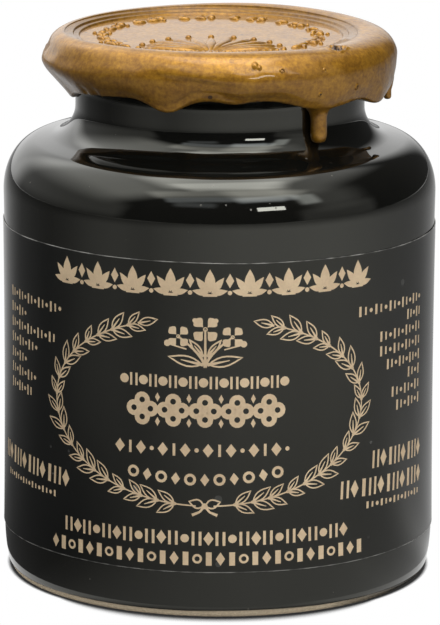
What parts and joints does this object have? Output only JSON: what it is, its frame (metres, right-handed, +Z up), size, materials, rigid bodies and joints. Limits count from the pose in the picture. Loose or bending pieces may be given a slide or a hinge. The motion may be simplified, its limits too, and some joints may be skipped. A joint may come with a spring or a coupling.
{
  "type": "mustard jar",
  "caption": "Shut stoneware mustard jar: black glazed body, wrapped paper label and a dripping cap of gold-bronze sealing wax with a stamped top.",
  "frame": {"origin": "middle of the foot, on the surface the jar stands on", "axes": "+Z up along the jar's axis; the front of the label faces -Y"},
  "size_m": [0.0804, 0.0802, 0.1018],
  "materials": {
    "black_glaze": "glossy black glaze over beige stoneware, bare clay at the foot",
    "black_paper": "satin black paper printed in beige gold",
    "bronze_wax": "gold-bronze pearl sealing wax, half gloss"
  },
  "bodies": {
    "root": {"jar": "black_glaze", "label": "black_paper", "wax_cap": "bronze_wax"}
  },
  "joints": []
}
